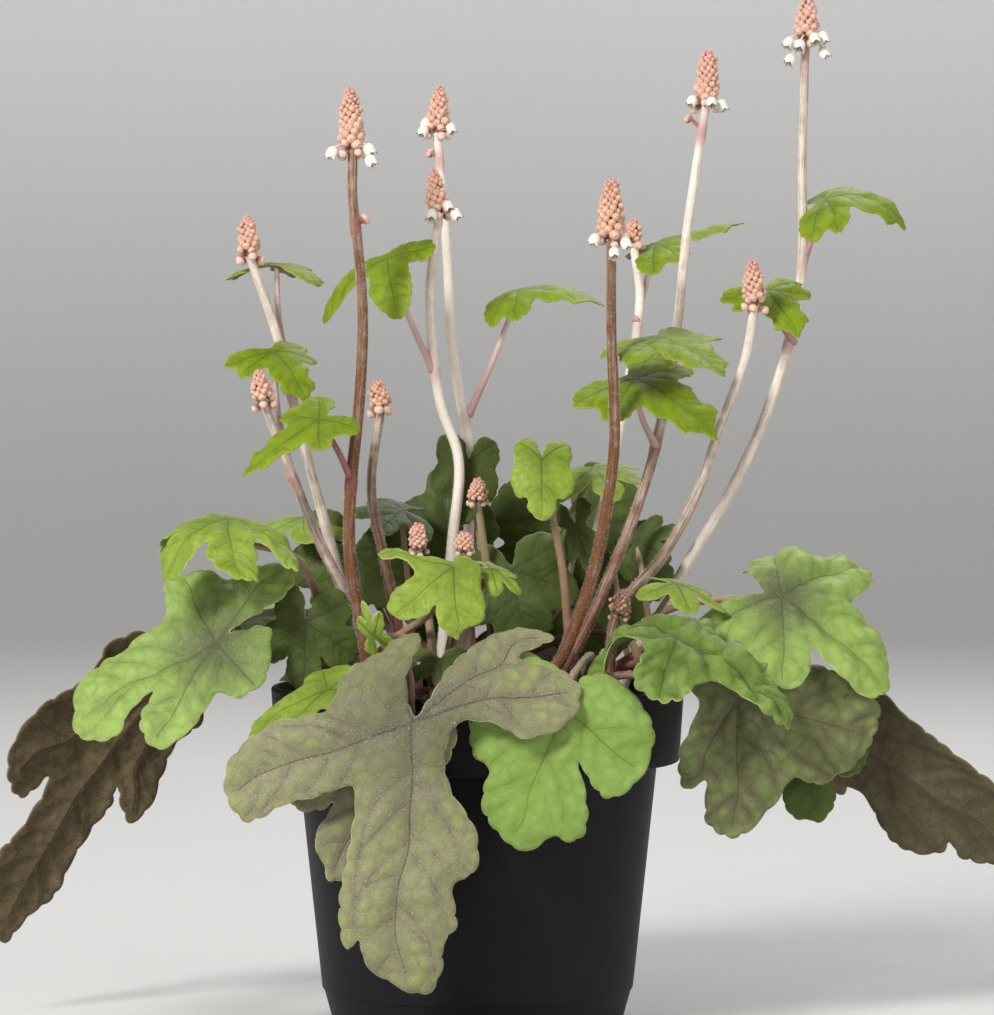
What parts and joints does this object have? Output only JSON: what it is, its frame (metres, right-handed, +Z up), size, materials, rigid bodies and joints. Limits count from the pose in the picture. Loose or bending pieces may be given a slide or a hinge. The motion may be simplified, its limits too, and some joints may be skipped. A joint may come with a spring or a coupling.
{
  "type": "potted heartleaf foamflower",
  "caption": "Low perennial with lobed, dark-veined leaves hanging over a round nursery pot and upright stems with small cones of buds.",
  "frame": {"origin": "centre of the pot's flat base, on the surface it stands on", "axes": "+Z up along the pot's axis, -Y towards the viewer of the plant's front, +X to the right as seen from the front"},
  "size_m": [0.3197, 0.1962, 0.326],
  "materials": {
    "pot_plastic": "satin",
    "compost": "matte",
    "rootstock": "satin",
    "leaf_purple": "satin",
    "leaf_green": "satin",
    "leaf_bright": "satin",
    "leaf_lime": "satin",
    "leaf_olive": "satin",
    "leaf_underside": "matte",
    "stem_cream": "satin",
    "stem_brown": "satin",
    "flower_buds": "matte"
  },
  "bodies": {
    "root": {"pot": "pot_plastic", "soil": "compost", "crown": "rootstock", "head_a": "flower_buds", "head_b": "flower_buds", "head_c": "flower_buds", "head_d": "flower_buds", "head_e": "flower_buds", "head_f": "flower_buds", "head_g": "flower_buds", "head_h": "flower_buds", "head_i": "flower_buds", "head_j": "flower_buds", "head_k": "flower_buds", "leaf_back_1": "leaf_purple", "leaf_back_2": "leaf_green", "leaf_back_3": "leaf_olive", "leaf_back_4": "leaf_green", "leaf_back_5": "leaf_purple", "leaf_back_6": "leaf_green", "leaf_far_left": "leaf_underside", "leaf_far_right": "leaf_underside", "leaf_front_curled": "leaf_bright", "leaf_front_green": "leaf_bright", "leaf_front_lime": "leaf_lime", "leaf_front_olive": "leaf_purple", "leaf_front_purple": "leaf_purple", "leaf_left_green": "leaf_green", "leaf_left_lime": "leaf_lime", "leaf_left_shade": "leaf_olive", "leaf_middle_lobed": "leaf_lime", "leaf_middle_top": "leaf_lime", "leaf_right_green": "leaf_green", "leaf_right_olive": "leaf_olive", "leaf_right_under": "leaf_olive", "stem_a": "stem_cream", "stem_b": "stem_cream", "stem_c": "stem_brown", "stem_d": "stem_brown", "stem_e": "stem_cream", "stem_f": "stem_cream", "stem_g": "stem_brown", "stem_h": "stem_cream", "stem_i": "stem_cream", "stem_j": "stem_brown", "stem_k": "stem_cream", "stem_leaf_a": "leaf_bright", "stem_leaf_b": "leaf_bright", "stem_leaf_c": "leaf_bright", "stem_leaf_e": "leaf_bright", "stem_leaf_f": "leaf_bright", "stem_leaf_h": "leaf_bright", "stem_leaf_i_1": "leaf_bright", "stem_leaf_i_2": "leaf_bright", "stem_leaf_k_1": "leaf_bright", "stem_leaf_k_2": "leaf_bright", "young_leaves_front": "leaf_green", "young_leaves_left": "leaf_green", "young_leaves_middle": "leaf_green", "young_leaves_right": "leaf_green"}
  },
  "joints": []
}
